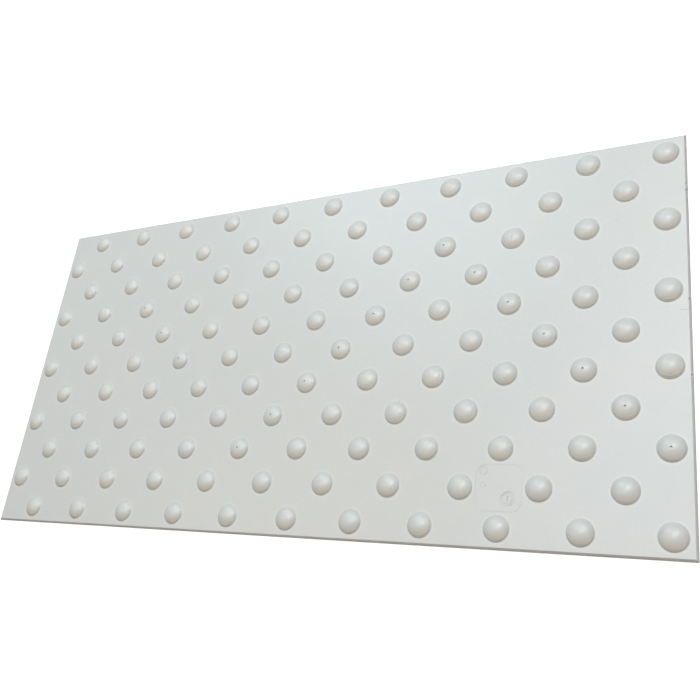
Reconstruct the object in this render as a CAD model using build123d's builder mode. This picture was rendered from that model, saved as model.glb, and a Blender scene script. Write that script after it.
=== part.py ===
from build123d import *
import os

# Tactile warning slab: one moulded sheet that is glued to the ground, with a staggered
# field of domes on it. Millimetres, +Z up. The origin is at the middle of the underside,
# X runs along the length and the sheet lies flat on Z = 0.

# Dome field
dome_pitch = 75.0  # between neighbouring domes of one row
row_spacing = 37.5  # between neighbouring rows
domes_per_row = 11
rows = 11
dome_diameter = 25.0  # at the foot
dome_height = 5.0  # above the sheet

# Sheet
sheet_thickness = 3.0
bevel_width = 2.0  # of the sloping border, seen from above
bevel_height = 2.0  # of the sloping border, below it the side is upright

# Slabs are laid edge to edge and the field runs on from one to the next, so the sheet
# is as long and as wide as the domes and the rows that it carries.
slab_length = domes_per_row * dome_pitch
slab_width = rows * row_spacing

# Every second row is set half a pitch along. The outermost rows belong to the first
# group and stand towards +X, the rows between them towards -X.
row_shift = dome_pitch / 4
outer_rows = rows - rows // 2
inner_rows = rows // 2

# One dome: a cap cut from the top of a sphere. The sphere lies on its side, so that its
# poles and its seam are clear of the cap and the dome is one plain face.
quarter_turn = 90
crown_radius = ((dome_diameter / 2) ** 2 + dome_height**2) / (2 * dome_height)
with BuildPart() as dome:
    with Locations((0, 0, dome_height - crown_radius)):
        Sphere(crown_radius, rotation=(0, quarter_turn, 0))
    split(bisect_by=Plane.XY, keep=Keep.TOP)

# The slab: a flat sheet with a sloping border, and the domes on its top face
with BuildPart() as tactile_slab:
    with BuildSketch():
        Rectangle(slab_length, slab_width)
    extrude(amount=sheet_thickness)
    top_face = tactile_slab.faces().sort_by(Axis.Z)[-1]
    chamfer(top_face.edges(), length=bevel_width, length2=bevel_height, reference=top_face)
    with Locations((row_shift, 0, sheet_thickness)):
        with GridLocations(dome_pitch, 2 * row_spacing, domes_per_row, outer_rows):
            add(dome.part)
    with Locations((-row_shift, 0, sheet_thickness)):
        with GridLocations(dome_pitch, 2 * row_spacing, domes_per_row, inner_rows):
            add(dome.part)

tactile_slab.part.label = "tactile_slab"

os.makedirs("parts", exist_ok=True)
export_step(tactile_slab.part, "parts/tactile_slab.step")
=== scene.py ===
import math
import random

import bmesh
import bpy
from mathutils import Matrix, Quaternion, Vector


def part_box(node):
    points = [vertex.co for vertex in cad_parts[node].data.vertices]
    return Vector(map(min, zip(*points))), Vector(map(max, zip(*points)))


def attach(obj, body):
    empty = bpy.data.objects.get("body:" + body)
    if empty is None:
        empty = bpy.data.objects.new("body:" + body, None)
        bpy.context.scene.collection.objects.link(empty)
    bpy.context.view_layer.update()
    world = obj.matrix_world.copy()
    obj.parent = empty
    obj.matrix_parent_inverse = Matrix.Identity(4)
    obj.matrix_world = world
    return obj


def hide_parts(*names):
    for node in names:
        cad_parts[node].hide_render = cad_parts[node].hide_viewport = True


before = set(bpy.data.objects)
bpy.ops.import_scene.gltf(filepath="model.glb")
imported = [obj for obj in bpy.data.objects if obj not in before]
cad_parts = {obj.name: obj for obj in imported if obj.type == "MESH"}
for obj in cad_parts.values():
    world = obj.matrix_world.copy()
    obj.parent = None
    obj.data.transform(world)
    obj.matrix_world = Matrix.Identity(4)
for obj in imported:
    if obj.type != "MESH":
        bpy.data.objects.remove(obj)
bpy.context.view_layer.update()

random.seed(7)

# Sizes of the slab in metres. The frame gives the outer ones.
SLAB_LOW, SLAB_HIGH = (Vector(corner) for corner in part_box("tactile_slab"))
SLAB_LENGTH = SLAB_HIGH.x - SLAB_LOW.x
SLAB_WIDTH = SLAB_HIGH.y - SLAB_LOW.y
DOME_HEIGHT = 0.005
DOME_RADIUS = 0.0125
SHEET_TOP = SLAB_HIGH.z - DOME_HEIGHT
BEVEL_WIDTH = 0.002
BEVEL_HEIGHT = 0.002

# The field is a chequerboard of squares: a dome stands on every second one.
SQUARE = 0.0375
COLUMNS = round(SLAB_LENGTH / SQUARE)
ROWS = round(SLAB_WIDTH / SQUARE)
ROUND_STEPS = 32
CAP_BANDS = 7
FILLET_BANDS = 2

# Soft edges that every moulding has
FOOT_FILLET = 0.0004
RIM_ROUNDING = 0.00025
RIM_SEGMENTS = 2
SHARP_ANGLE = math.radians(35)
MERGE_GAP = 1e-6

# Pits left by trapped air in the crowns: radius and depth of each kind, and the domes that
# hold one, by row from the far edge and place in the row
DEEP_PIT = (0.0010, 0.0011)
FAINT_PIT = (0.0012, 0.00025)
DEEP_PITS = [(2, 7), (3, 2), (3, 7), (3, 8), (4, 2), (4, 6), (4, 8), (5, 3), (5, 6), (5, 9),
             (6, 5), (6, 9), (7, 5), (7, 10), (8, 4), (8, 10)]
FAINT_PITS = [(2, 8), (3, 3), (6, 3), (7, 4)]

# Section of a pit from its middle out, as shares of its radius and depth, then the shoulder
# just under its lip, whose drop is in metres, and the lip itself
PIT_SECTION = ((0, 1), (0.6, 0.9), (1, 0.35))
PIT_SHOULDER = 1.1
PIT_SHOULDER_DROP = 0.00002
PIT_LIP = 1.35

# Witness line of the mould insert and the marks within it, on the sheet's top. A groove is
# given by its width and depth, a ring by its middle and radius, a cut by its three sides.
INSERT_MIDDLE = Vector((0.24375, -0.150, 0))
INSERT_SIZE = 0.045
INSERT_CORNER = 0.010
INSERT_CORNER_STEPS = 6
INSERT_GROOVE = (0.0007, 0.00025)
DIAL_MIDDLE = Vector((0.2530, -0.160, 0))
DIAL_POINTER = Vector((0.0010, 0.0050, 0.0014))
RING_MARKS = [(Vector((0.2285, -0.134, 0)), 0.0040), (Vector((0.2292, -0.1475, 0)), 0.0027),
              (DIAL_MIDDLE, 0.0050), (DIAL_MIDDLE, 0.0068)]
RING_GROOVE = (0.0007, 0.0004)
RING_STEPS = 28
CUTTER_RISE = 4  # how often its groove's depth a cutter is tall

# Wear: chips out of the border, by middle and radius of the bite, and one scratch
CHIPS = [(Vector((0.4119, 0.1495, 0.0026)), 0.0018), (Vector((0.4119, 0.1420, 0.0026)), 0.0019),
         (Vector((0.4119, 0.0270, 0.0025)), 0.0018), (Vector((0.4120, -0.0015, 0.0026)), 0.0015),
         (Vector((0.4119, -0.0470, 0.0026)), 0.0017), (Vector((0.0515, -0.2057, 0.0026)), 0.0017)]
CHIP_UNEVENNESS = (0.85, 1.1)
SCRATCH_MIDDLE = Vector((0.4065, 0.0165, 0))
SCRATCH = Vector((0.0075, 0.0004, 0.0005))

# Colours of the polymer and of the dust on it, of the painted shade, painted halo and painted warm
# bounce laid over it, and of the darker low sides
COOL_POLYMER = (0.786, 0.806, 0.800, 1)
WARM_POLYMER = (0.810, 0.808, 0.800, 1)
BLUISH_MOTTLE = (0.772, 0.792, 0.796, 1)
PALE_MOTTLE = (0.838, 0.834, 0.816, 1)
DUST = (0.42, 0.39, 0.33, 1)
# Painted halo: a pale ring of painted light round each dome's foot
PAINTED_HALO = (0.85, 0.852, 0.828, 1)
# Painted shade on the steep lower flank of each dome
FLANK_SHADE = (0.42, 0.37, 0.31, 1)
# Painted shade in the crease at each dome's foot, deepest on the side towards -Y
CREASE_SHADE = (0.40, 0.37, 0.33, 1)
# Painted warm bounce light on the sides of the domes that face -Y
PAINTED_WARM_BOUNCE = (0.83, 0.78, 0.69, 1)
PIT_SHADE = (0.16, 0.15, 0.13, 1)
# Darker towards the ground on the bevel and upright sides
LOW_SIDE_DARK = (0.37, 0.36, 0.35, 1)

# Where the painted shade, the painted halo, the painted warm bounce and the turning marks lie round
# a dome, by distance from its axis. A band has its middle, how far off that it is still full and
# how far off it has gone. A rise or a fall has its start and its end.
FLANK_BAND = (0.0106, 0.0008, 0.0036)
CREASE_BAND = (0.0116, 0.0003, 0.0009)
PAINTED_HALO_RISE = (0.0124, 0.0134)
PAINTED_HALO_FALL = (0.0136, 0.0156)
WARM_BOUNCE_FALL = (0.0095, 0.0116)
PIT_SHADE_FALL = (0.0010, 0.0017)
TURNING_RISE = (0.0065, 0.0090)
TURNING_FALL = (0.0110, 0.0122)
TURNING_CREST = 0.0098
TURNING_PITCH = 0.0024

# Where the painted crease shade and the painted warm bounce lie by the Y of the surface's normal,
# from its start to its end
CREASE_LEAN = (0.35, -0.4)
WARM_BOUNCE_LEAN = (-0.04, -0.42)

# Where the painted pit shade and the darkening of the low sides lie by height, from its start to
# its end
PIT_SHADE_HEIGHTS = (SLAB_HIGH.z - 0.0006, SLAB_HIGH.z - 0.00016)
LOW_SIDE_DARK_HEIGHTS = (0.0, SHEET_TOP - 0.00005)
LOW_SIDE_DARK_END = (SHEET_TOP - 0.0001, SHEET_TOP - 0.00001)

# Random patterns of colour, gloss and relief, in waves per metre. Specks of dust begin at the
# first value of their pattern's range and are full at the second.
TINT_WAVES = 9.0
MOTTLE_WAVES = 60.0
FINE_MOTTLE_WAVES = 420.0
FLANK_SHADE_WAVES = 70.0
CREASE_SHADE_WAVES = 90.0
WARM_BOUNCE_WAVES = 35.0
LOW_SIDE_DARK_WAVES = 120.0
GLOSS_WAVES = 150.0
SHEET_WAVES = 6.0
GRAIN_WAVES = 1300.0
TURNING_WAVES = 30.0
DUST_WAVES = 900.0
DUST_RANGE = (0.70, 0.78)

# Gloss, and the relief by bump, whose heights are in millimetres
MILLIMETRE = 0.001
ROUGHNESS_LOW = 0.28
ROUGHNESS_HIGH = 0.34
CREASE_ROUGHNESS = 0.4
WAVE_HEIGHT = 0.5
GRAIN_HEIGHT = 0.004
TURNING_HEIGHT = 0.09

# Stage. Each lamp: name, azimuth and elevation in degrees, distance and width in metres,
# power in watts, colour.
LAMPS = (("key", 60, 60, 4.0, 2.1, 66.5, (0.89, 0.95, 0.95)),
         ("second_key", 116, 47, 2.5, 1.3, 15, (0.70, 0.88, 0.93)),
         ("top", 90, 82, 4.0, 2.1, 38.5, (0.88, 0.93, 0.98)),
         ("left_fill", 180, 60, 4.0, 2.1, 19, (1.0, 0.74, 0.50)),
         ("front_fill", -35, 25, 4.0, 2.1, 17, (1.0, 0.66, 0.42)))
WORLD_LIGHT = 0.03
WORLD_SEEN = 1.0
FLOOR_HALF = 2.5
FLOOR_GAP = 0.0002
FLOOR_SEEN = 0.65
FLOOR_COLOUR = (0.85, 0.85, 0.85, 1)
FLOOR_ROUGHNESS = 0.9
WHITE = (1, 1, 1, 1)

# Camera
CAMERA_PLACE = Vector((0.46745, -0.30597, 0.69962 + SHEET_TOP))
CAMERA_AIM = Vector((0.06799, -0.00170, SHEET_TOP))
CAMERA_ROLL = math.radians(-50.595)
CAMERA_SENSOR = 36
CAMERA_LENS = 40.515


def new_mesh_object(name, bm):
    """Turn a bmesh into an object of the scene, smooth but for its sharp edges."""
    mesh = bpy.data.meshes.new(name)
    bm.to_mesh(mesh)
    bm.free()
    piece = bpy.data.objects.new(name, mesh)
    bpy.context.scene.collection.objects.link(piece)
    mesh.shade_smooth()
    mesh.set_sharp_from_angle(angle=SHARP_ANGLE)
    return piece


def points_of(geometry):
    """The points among what an operator made."""
    return [item for item in geometry if isinstance(item, bmesh.types.BMVert)]


def open_edges(geometry):
    """The edges that have a face on one side only."""
    return [item for item in geometry if isinstance(item, bmesh.types.BMEdge) and item.is_boundary]


def dome_profile(pit_radius, pit_depth):
    """Half section of a dome from its crown out to the flat, as radius and height."""
    crown_radius = (DOME_RADIUS ** 2 + DOME_HEIGHT ** 2) / (2 * DOME_HEIGHT)
    centre_height = DOME_HEIGHT - crown_radius
    reach = crown_radius + FOOT_FILLET
    fillet_middle = math.sqrt(reach ** 2 - (FOOT_FILLET - centre_height) ** 2)
    slope = math.atan2(fillet_middle, FOOT_FILLET - centre_height)

    def on_cap(angle):
        """Radius and height of the cap at an angle from its axis."""
        return crown_radius * math.sin(angle), centre_height + crown_radius * math.cos(angle)

    if pit_radius:
        start = math.asin(pit_radius * PIT_LIP / crown_radius)
        lip_height = on_cap(start)[1]
        points = [(pit_radius * out, lip_height - pit_depth * down) for out, down in PIT_SECTION]
        points += [(pit_radius * PIT_SHOULDER, lip_height - PIT_SHOULDER_DROP), on_cap(start)]
    else:
        start = 0
        points = [on_cap(start)]
    points += [on_cap(start + (slope - start) * band / CAP_BANDS)
               for band in range(1, CAP_BANDS + 1)]
    for band in range(1, FILLET_BANDS + 1):
        angle = slope * (1 - band / FILLET_BANDS)
        points.append((fillet_middle - FOOT_FILLET * math.sin(angle),
                       FOOT_FILLET * (1 - math.cos(angle))))
    points.append((fillet_middle + FOOT_FILLET, 0))
    return points


def push_to_square(verts):
    """Move a ring's points straight out from the middle onto the outline of a square."""
    for vert in verts:
        reach = max(abs(vert.co.x), abs(vert.co.y))
        vert.co.x *= SQUARE / 2 / reach
        vert.co.y *= SQUARE / 2 / reach


def plain_square():
    """A level square, with the same points on its outline as a square with a dome has."""
    bm = bmesh.new()
    ring = bmesh.ops.create_circle(bm, cap_ends=True, segments=ROUND_STEPS, radius=SQUARE / 2)
    push_to_square(ring["verts"])
    return finished_square(bm, "plain_square")


def dome_square(name, pit_radius=0.0, pit_depth=0.0):
    """A square with a dome: the section is spun, and its foot is carried out to the square."""
    bm = bmesh.new()
    verts = [bm.verts.new((radius, 0, height))
             for radius, height in dome_profile(pit_radius, pit_depth)]
    chain = [bm.edges.new(pair) for pair in zip(verts, verts[1:])]
    bmesh.ops.spin(bm, geom=verts + chain, cent=(0, 0, 0), axis=(0, 0, 1), angle=math.tau,
                   steps=ROUND_STEPS, use_merge=True)
    bmesh.ops.remove_doubles(bm, verts=bm.verts[:], dist=MERGE_GAP)
    flat = bmesh.ops.extrude_edge_only(bm, edges=open_edges(bm.edges))["geom"]
    push_to_square(points_of(flat))
    return finished_square(bm, name)


def finished_square(bm, name):
    """Keep a square as a mesh, its faces turned up."""
    bmesh.ops.recalc_face_normals(bm, faces=bm.faces[:])
    if sum(face.normal.z for face in bm.faces) < 0:
        bmesh.ops.reverse_faces(bm, faces=bm.faces[:])
    mesh = bpy.data.meshes.new(name)
    bm.to_mesh(mesh)
    bm.free()
    return mesh


def field_squares():
    """Every square of the field: its middle, and whether and which dome stands on it."""
    for row in range(ROWS):
        for column in range(COLUMNS):
            middle = Vector((SLAB_LOW.x + (column + 0.5) * SQUARE,
                             SLAB_HIGH.y - (row + 0.5) * SQUARE, SHEET_TOP))
            has_dome = (row + column) % 2 == 1
            yield middle, has_dome, (row, column // 2)


def rim(bm):
    """Cut the field back to the bevel, then carry its border down to the ground."""
    inner_x = SLAB_LENGTH / 2 - BEVEL_WIDTH
    inner_y = SLAB_WIDTH / 2 - BEVEL_WIDTH
    for place, way in (((inner_x, 0, 0), (1, 0, 0)), ((-inner_x, 0, 0), (-1, 0, 0)),
                       ((0, inner_y, 0), (0, 1, 0)), ((0, -inner_y, 0), (0, -1, 0))):
        bmesh.ops.bisect_plane(bm, geom=bm.verts[:] + bm.edges[:] + bm.faces[:],
                               dist=MERGE_GAP, plane_co=place, plane_no=way, clear_outer=True)
    crest = open_edges(bm.edges)
    slope = bmesh.ops.extrude_edge_only(bm, edges=crest)["geom"]
    lower = points_of(slope)
    bmesh.ops.scale(bm, verts=lower,
                    vec=(SLAB_LENGTH / 2 / inner_x, SLAB_WIDTH / 2 / inner_y, 1))
    bmesh.ops.translate(bm, verts=lower, vec=(0, 0, -BEVEL_HEIGHT))
    knee = open_edges(slope)
    side = bmesh.ops.extrude_edge_only(bm, edges=knee)["geom"]
    bmesh.ops.translate(bm, verts=points_of(side), vec=(0, 0, BEVEL_HEIGHT - SHEET_TOP))
    base = open_edges(side)
    bmesh.ops.contextual_create(bm, geom=base)
    bmesh.ops.recalc_face_normals(bm, faces=bm.faces[:])
    bmesh.ops.bevel(bm, geom=crest + knee + base, offset=RIM_ROUNDING, offset_type="OFFSET",
                    affect="EDGES", segments=RIM_SEGMENTS, profile=0.5, material=-1,
                    clamp_overlap=True)


def moulded_slab():
    """The slab as one closed moulding."""
    plain = plain_square()
    whole = dome_square("dome_square")
    deep = dome_square("deep_pit_square", *DEEP_PIT)
    faint = dome_square("faint_pit_square", *FAINT_PIT)
    bm = bmesh.new()
    for middle, has_dome, place in field_squares():
        mesh = plain
        if has_dome:
            mesh = deep if place in DEEP_PITS else faint if place in FAINT_PITS else whole
        mesh.transform(Matrix.Translation(middle))
        bm.from_mesh(mesh)
        mesh.transform(Matrix.Translation(-middle))
    bmesh.ops.remove_doubles(bm, verts=bm.verts[:], dist=MERGE_GAP)
    rim(bm)
    piece = new_mesh_object("moulded_slab", bm)
    for mesh in (plain, whole, deep, faint):
        bpy.data.meshes.remove(mesh)
    return piece


def groove_walls(bm, face, place, groove):
    """Make the outline of a level face into the solid that cuts a groove along it."""
    width, depth = groove
    wall = bmesh.ops.inset_region(bm, faces=[face], thickness=width, use_boundary=True,
                                  use_even_offset=True)["faces"]
    bmesh.ops.delete(bm, geom=[face], context="FACES")
    raised = points_of(bmesh.ops.extrude_face_region(bm, geom=wall)["geom"])
    bmesh.ops.translate(bm, verts=raised, vec=(0, 0, depth * CUTTER_RISE))
    own = {vert for side in wall for vert in side.verts} | set(raised)
    bmesh.ops.translate(bm, verts=list(own), vec=place + Vector((0, 0, SHEET_TOP - depth)))


def straight_cut(bm, sides, place):
    """The block that cuts a straight mark, half of it above the sheet's top."""
    block = bmesh.ops.create_cube(bm, size=1)["verts"]
    bmesh.ops.scale(bm, verts=block, vec=sides)
    bmesh.ops.translate(bm, verts=block, vec=place + Vector((0, 0, SHEET_TOP)))


def insert_marks():
    """The solids that cut the insert's witness line and rings, the dial's pointer and a scratch."""
    bm = bmesh.new()
    corners = bmesh.ops.create_grid(bm, x_segments=1, y_segments=1, size=INSERT_SIZE / 2)["verts"]
    bmesh.ops.bevel(bm, geom=corners, offset=INSERT_CORNER, offset_type="OFFSET",
                    affect="VERTICES", segments=INSERT_CORNER_STEPS, profile=0.5, material=-1)
    bm.faces.ensure_lookup_table()
    groove_walls(bm, bm.faces[0], INSERT_MIDDLE, INSERT_GROOVE)
    for place, radius in RING_MARKS:
        ring = bmesh.ops.create_circle(bm, cap_ends=True, segments=RING_STEPS, radius=radius)
        face = next(face for face in ring["verts"][0].link_faces)
        groove_walls(bm, face, place, RING_GROOVE)
    straight_cut(bm, DIAL_POINTER, DIAL_MIDDLE)
    straight_cut(bm, SCRATCH, SCRATCH_MIDDLE)
    bmesh.ops.recalc_face_normals(bm, faces=bm.faces[:])
    return new_mesh_object("insert_marks", bm)


def border_chips():
    """The lumps that bite the small chips out of the border."""
    bm = bmesh.new()
    for place, radius in CHIPS:
        lump = bmesh.ops.create_icosphere(bm, subdivisions=2, radius=radius)["verts"]
        for vert in lump:
            vert.co *= random.uniform(*CHIP_UNEVENNESS)
        bmesh.ops.translate(bm, verts=lump, vec=place)
    return new_mesh_object("border_chips", bm)


def cut_away(piece, cutter):
    """Take a cutter's solids out of a piece for good, then drop the cutter."""
    cut = piece.modifiers.new("cut", "BOOLEAN")
    cut.operation = "DIFFERENCE"
    cut.solver = "MANIFOLD"
    cut.object = cutter
    whole = piece.data
    ready = piece.evaluated_get(bpy.context.evaluated_depsgraph_get())
    piece.data = bpy.data.meshes.new_from_object(ready)
    piece.data.materials.clear()
    piece.modifiers.remove(cut)
    bpy.data.meshes.remove(whole)
    bpy.data.meshes.remove(cutter.data)


def node(tree, kind, **settings):
    """Add a node to a material and set it up."""
    made = tree.nodes.new(kind)
    for name, value in settings.items():
        setattr(made, name, value)
    return made


def feed(tree, socket, value):
    """Give a socket a fixed value or the output of another node."""
    if isinstance(value, bpy.types.NodeSocket):
        tree.links.new(value, socket)
    else:
        socket.default_value = value


def calc(tree, operation, *values):
    """Reckon with numbers."""
    made = node(tree, "ShaderNodeMath", operation=operation)
    for socket, value in zip(made.inputs, values):
        feed(tree, socket, value)
    return made.outputs[0]


def product(tree, *values):
    """Multiply two or more numbers."""
    total = values[0]
    for value in values[1:]:
        total = calc(tree, "MULTIPLY", total, value)
    return total


def vector_calc(tree, operation, *values):
    """Reckon with vectors."""
    made = node(tree, "ShaderNodeVectorMath", operation=operation)
    for socket, value in zip(made.inputs, values):
        feed(tree, socket, value)
    return made.outputs["Value" if operation == "LENGTH" else "Vector"]


def axis_of(tree, vector, axis):
    """One coordinate of a vector."""
    made = node(tree, "ShaderNodeSeparateXYZ")
    feed(tree, made.inputs[0], vector)
    return made.outputs[axis]


def fade(tree, value, start, end, low=0.0, high=1.0):
    """Go smoothly from low to high while a value goes from start to end."""
    made = node(tree, "ShaderNodeMapRange", interpolation_type="SMOOTHSTEP")
    for socket, given in zip(made.inputs, (value, start, end, low, high)):
        feed(tree, socket, given)
    return made.outputs[0]


def noise(tree, place, scale, detail):
    """Random pattern of Blender's own range; scale is in waves per metre."""
    made = node(tree, "ShaderNodeTexNoise")
    feed(tree, made.inputs["Vector"], place)
    made.inputs["Scale"].default_value = scale
    made.inputs["Detail"].default_value = detail
    return made.outputs["Fac"]


def cloud(tree, place, scale, detail=2.0, low=0.0, high=1.0):
    """Soft random pattern between low and high; scale is in waves per metre."""
    return fade(tree, noise(tree, place, scale, detail), 0.3, 0.7, low, high)


def blend(tree, share, first, second):
    """Mix two colours."""
    made = node(tree, "ShaderNodeMix", data_type="RGBA")
    sockets = [socket for socket in made.inputs if socket.enabled]
    for socket, value in zip(sockets, (share, first, second)):
        feed(tree, socket, value)
    return next(socket for socket in made.outputs if socket.enabled)


def nearest_dome(tree, place):
    """How far a point of the sheet is from the axis of the nearest dome."""
    # The rows are of two groups, and in each the domes stand two squares apart both ways
    reaches = []
    first = Vector((SLAB_LOW.x + 1.5 * SQUARE, SLAB_HIGH.y - 0.5 * SQUARE, 0))
    for start in (first, first + Vector((SQUARE, -SQUARE, 0))):
        shifted = vector_calc(tree, "SUBTRACT", place, start)
        folded = vector_calc(tree, "WRAP", shifted, (SQUARE, SQUARE, 1), (-SQUARE, -SQUARE, 0))
        level = vector_calc(tree, "MULTIPLY", folded, (1, 1, 0))
        reaches.append(vector_calc(tree, "LENGTH", level))
    return calc(tree, "MINIMUM", *reaches)


def band(tree, reach, middle, inner, outer):
    """1 in a ring round each dome, fading to 0 between two distances from its middle line."""
    off = calc(tree, "ABSOLUTE", calc(tree, "SUBTRACT", reach, middle))
    return fade(tree, off, inner, outer, 1.0, 0.0)


def bare_tone(tree, place):
    """Colour of the clean polymer, mottled, with fine dust on it."""
    tone = blend(tree, cloud(tree, place, TINT_WAVES), COOL_POLYMER, WARM_POLYMER)
    tone = blend(tree, cloud(tree, place, MOTTLE_WAVES, high=0.40), tone, BLUISH_MOTTLE)
    fine = cloud(tree, place, FINE_MOTTLE_WAVES, detail=3.0, high=0.40)
    tone = blend(tree, fine, tone, PALE_MOTTLE)
    specks = fade(tree, noise(tree, place, DUST_WAVES, 1.0), *DUST_RANGE, 0.0, 0.3)
    return blend(tree, specks, tone, DUST)


def crease_shade(tree, place, reach, towards_y):
    """Share of the painted shade in the crease at each foot, most of it on the side towards -Y."""
    return product(tree, band(tree, reach, *CREASE_BAND),
                   fade(tree, towards_y, *CREASE_LEAN, 0.15, 1.0),
                   cloud(tree, place, CREASE_SHADE_WAVES, low=0.30, high=0.50))


def tone_with_painted_light(tree, tone, place, reach, towards_y, crease):
    """Lay the painted halo, painted shade and painted warm bounce round the domes, the painted
    shade in the pits and the darkening of the low sides over the clean colour.
    """
    height = axis_of(tree, place, "Z")
    # Painted halo: a pale ring of painted light just outside each foot
    ring = product(tree, fade(tree, reach, *PAINTED_HALO_RISE),
                   fade(tree, reach, *PAINTED_HALO_FALL, 0.6, 0.0))
    tone = blend(tree, ring, tone, PAINTED_HALO)
    # Painted shade darkening the lower flank of every dome
    flank_shade = product(tree, band(tree, reach, *FLANK_BAND),
                    cloud(tree, place, FLANK_SHADE_WAVES, low=0.04, high=0.12))
    tone = blend(tree, flank_shade, tone, FLANK_SHADE)
    # Painted shade in the crease at each foot
    tone = blend(tree, crease, tone, CREASE_SHADE)
    # Painted warm bounce light on the side of each dome that faces -Y
    warm_bounce = product(tree, fade(tree, towards_y, *WARM_BOUNCE_LEAN),
                        cloud(tree, place, WARM_BOUNCE_WAVES, low=0.5, high=0.9),
                        fade(tree, reach, *WARM_BOUNCE_FALL, 1.0, 0.25))
    tone = blend(tree, warm_bounce, tone, PAINTED_WARM_BOUNCE)
    pit = product(tree, fade(tree, reach, *PIT_SHADE_FALL, 0.5, 0.0),
                  fade(tree, height, *PIT_SHADE_HEIGHTS, 1.0, 0.0))
    tone = blend(tree, pit, tone, PIT_SHADE)
    # The bevel and upright sides turn darker towards the ground
    low_side = product(tree, fade(tree, height, *LOW_SIDE_DARK_HEIGHTS, 1.0, 0.18),
                       fade(tree, height, *LOW_SIDE_DARK_END, 1.0, 0.0),
                       cloud(tree, place, LOW_SIDE_DARK_WAVES, low=0.5, high=0.8))
    return blend(tree, low_side, tone, LOW_SIDE_DARK)


def relief(tree, place, reach):
    """Height in millimetres: slow waves of the sheet, fine grain, turning marks on the domes."""
    waves = cloud(tree, place, SHEET_WAVES, detail=0.0, high=WAVE_HEIGHT)
    grain = cloud(tree, place, GRAIN_WAVES, high=GRAIN_HEIGHT)
    phase = product(tree, calc(tree, "SUBTRACT", reach, TURNING_CREST), math.tau / TURNING_PITCH)
    turning = product(tree, calc(tree, "COSINE", phase), fade(tree, reach, *TURNING_RISE),
                      fade(tree, reach, *TURNING_FALL, 1.0, 0.0),
                      cloud(tree, place, TURNING_WAVES, high=TURNING_HEIGHT))
    return calc(tree, "ADD", calc(tree, "ADD", waves, grain), turning)


def polymer():
    """Pale satin polymer, mottled and dusty, with shade, a halo and warm bounce light painted round
    its domes and in its pits, and sides darker towards the ground.
    """
    material = bpy.data.materials.new("moulded_polymer")
    material.use_nodes = True
    tree = material.node_tree
    shader = tree.nodes["Principled BSDF"]
    coordinates = node(tree, "ShaderNodeTexCoord")
    place = coordinates.outputs["Object"]
    towards_y = axis_of(tree, coordinates.outputs["Normal"], "Y")
    reach = nearest_dome(tree, place)
    crease = crease_shade(tree, place, reach, towards_y)

    tone = tone_with_painted_light(tree, bare_tone(tree, place), place, reach, towards_y, crease)
    feed(tree, shader.inputs["Base Color"], tone)

    gloss = cloud(tree, place, GLOSS_WAVES, detail=3.0, low=ROUGHNESS_LOW, high=ROUGHNESS_HIGH)
    # The mask of the crease's painted shade also raises the roughness there
    dulled = product(tree, crease, CREASE_ROUGHNESS)
    feed(tree, shader.inputs["Roughness"], calc(tree, "ADD", gloss, dulled))

    bump = node(tree, "ShaderNodeBump")
    bump.inputs["Strength"].default_value = 1.0
    bump.inputs["Distance"].default_value = MILLIMETRE
    feed(tree, bump.inputs["Height"], relief(tree, place, reach))
    feed(tree, shader.inputs["Normal"], bump.outputs["Normal"])
    return material


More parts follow.
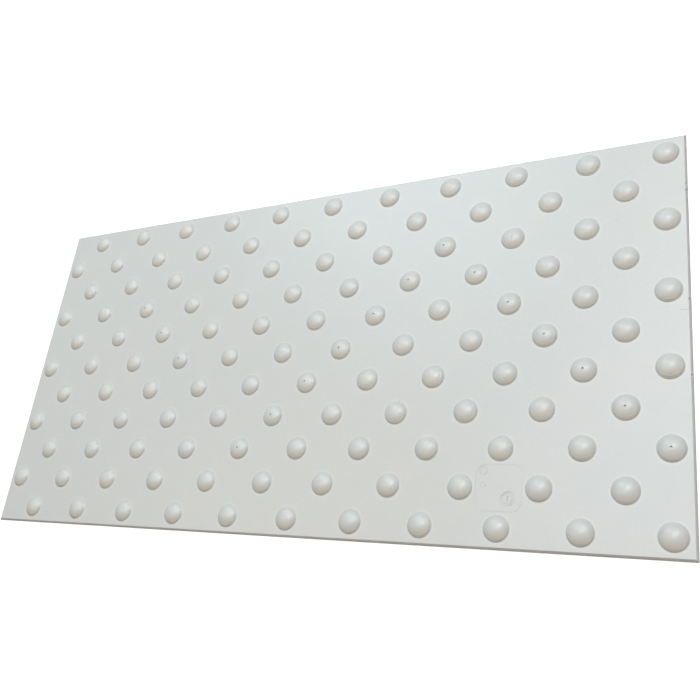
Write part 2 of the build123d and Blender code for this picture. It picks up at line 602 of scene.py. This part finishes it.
def floor():
    """Level floor that the camera sees as white and that still takes the slab's shadow."""
    bm = bmesh.new()
    bmesh.ops.create_grid(bm, x_segments=1, y_segments=1, size=FLOOR_HALF)
    bmesh.ops.translate(bm, verts=bm.verts[:], vec=(0, 0, -FLOOR_GAP))
    ground = new_mesh_object("floor", bm)
    material = bpy.data.materials.new("white_floor")
    material.use_nodes = True
    tree = material.node_tree
    shader = tree.nodes["Principled BSDF"]
    shader.inputs["Base Color"].default_value = FLOOR_COLOUR
    shader.inputs["Roughness"].default_value = FLOOR_ROUGHNESS
    shader.inputs["Emission Color"].default_value = WHITE
    seen = node(tree, "ShaderNodeLightPath").outputs["Is Camera Ray"]
    feed(tree, shader.inputs["Emission Strength"], product(tree, seen, FLOOR_SEEN))
    ground.data.materials.append(material)


def area_light(name, place, size, power, colour):
    """A round soft lamp that points at the middle of the slab."""
    lamp = bpy.data.lights.new(name, "AREA")
    lamp.shape = "DISK"
    lamp.size = size
    lamp.energy = power
    lamp.color = colour
    holder = bpy.data.objects.new(name, lamp)
    holder.location = place
    holder.rotation_euler = (-place).to_track_quat("-Z", "Y").to_euler()
    bpy.context.scene.collection.objects.link(holder)


def light():
    """The lamps, and a dim world that the camera sees as white."""
    world = bpy.data.worlds.new("studio")
    world.use_nodes = True
    bpy.context.scene.world = world
    tree = world.node_tree
    background = tree.nodes["Background"]
    background.inputs["Color"].default_value = WHITE
    seen = node(tree, "ShaderNodeLightPath").outputs["Is Camera Ray"]
    feed(tree, background.inputs["Strength"], fade(tree, seen, 0, 1, WORLD_LIGHT, WORLD_SEEN))
    for name, azimuth, elevation, away, size, power, colour in LAMPS:
        across, up = math.radians(azimuth), math.radians(elevation)
        way = Vector((math.cos(across) * math.cos(up), math.sin(across) * math.cos(up),
                      math.sin(up)))
        area_light(name, way * away, size, power, colour)


def camera():
    """The photo's point of view."""
    eye = bpy.data.cameras.new("camera")
    eye.sensor_width = CAMERA_SENSOR
    eye.lens = CAMERA_LENS
    holder = bpy.data.objects.new("camera", eye)
    holder.location = CAMERA_PLACE
    turn = ((CAMERA_AIM - CAMERA_PLACE).to_track_quat("-Z", "Y")
            @ Quaternion((0, 0, 1), CAMERA_ROLL))
    holder.rotation_euler = turn.to_euler()
    bpy.context.scene.collection.objects.link(holder)
    bpy.context.scene.camera = holder


slab = moulded_slab()
for cutter in (insert_marks(), border_chips()):
    cut_away(slab, cutter)
slab.data.set_sharp_from_angle(angle=SHARP_ANGLE)
slab.modifiers.new("even_normals", "WEIGHTED_NORMAL").keep_sharp = True
slab.data.materials.append(polymer())
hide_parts("tactile_slab")
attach(slab, "root")

floor()
light()
camera()
bpy.context.scene.view_settings.view_transform = "Standard"
